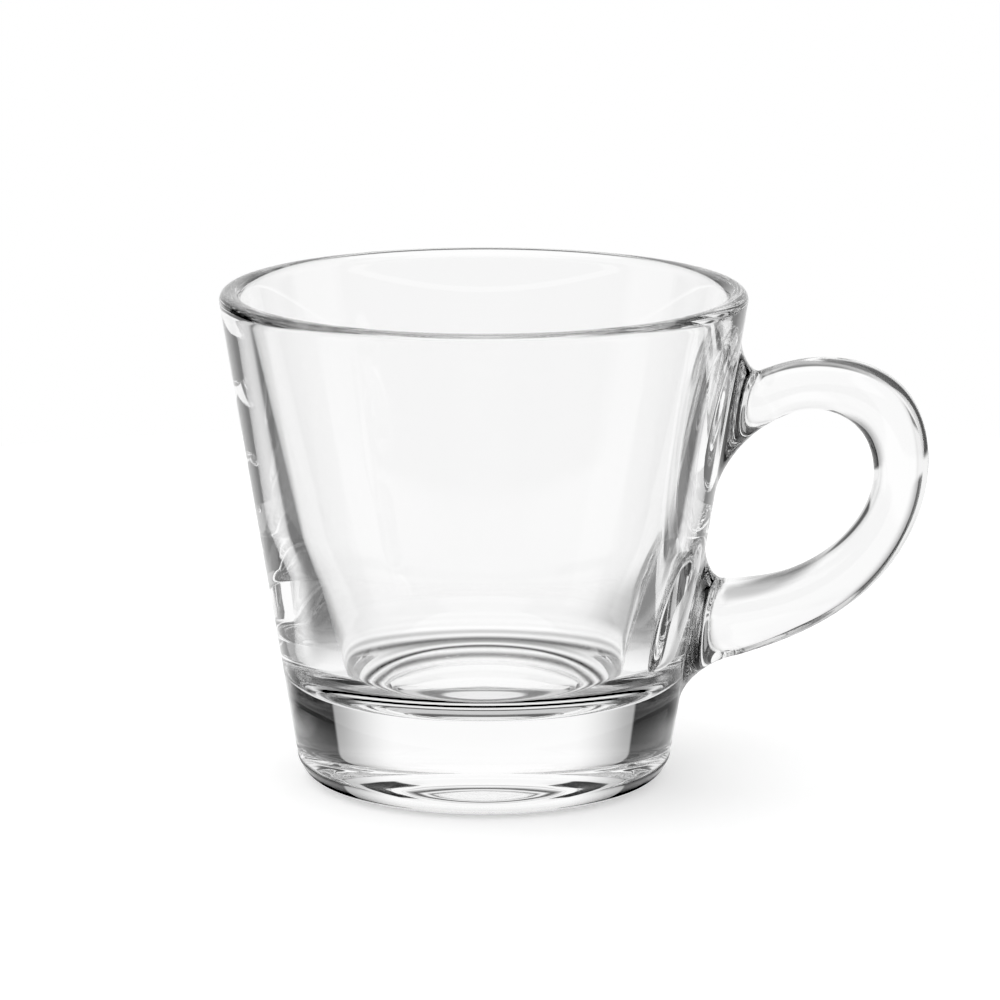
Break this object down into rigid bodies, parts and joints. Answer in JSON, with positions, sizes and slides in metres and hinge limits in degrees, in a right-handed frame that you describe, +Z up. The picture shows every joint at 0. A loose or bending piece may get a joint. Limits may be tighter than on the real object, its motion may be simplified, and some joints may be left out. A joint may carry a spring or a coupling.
{
  "type": "espresso glass",
  "caption": "Clear pressed-glass espresso cup: straight conical bowl with a thick solid base, rounded lip and a loop handle on flared feet.",
  "frame": {"origin": "on the table plane, under the middle of the whole glass's box, handle included; the bowl's own axis is 11.0 mm from it towards -X", "axes": "+Z up along the bowl's axis, +X towards the handle, the loop lies in the XZ plane"},
  "size_m": [0.0856, 0.0636, 0.06],
  "materials": {
    "clear_glass": "polished"
  },
  "bodies": {
    "root": {"bowl": "clear_glass", "handle": "clear_glass"}
  },
  "joints": []
}
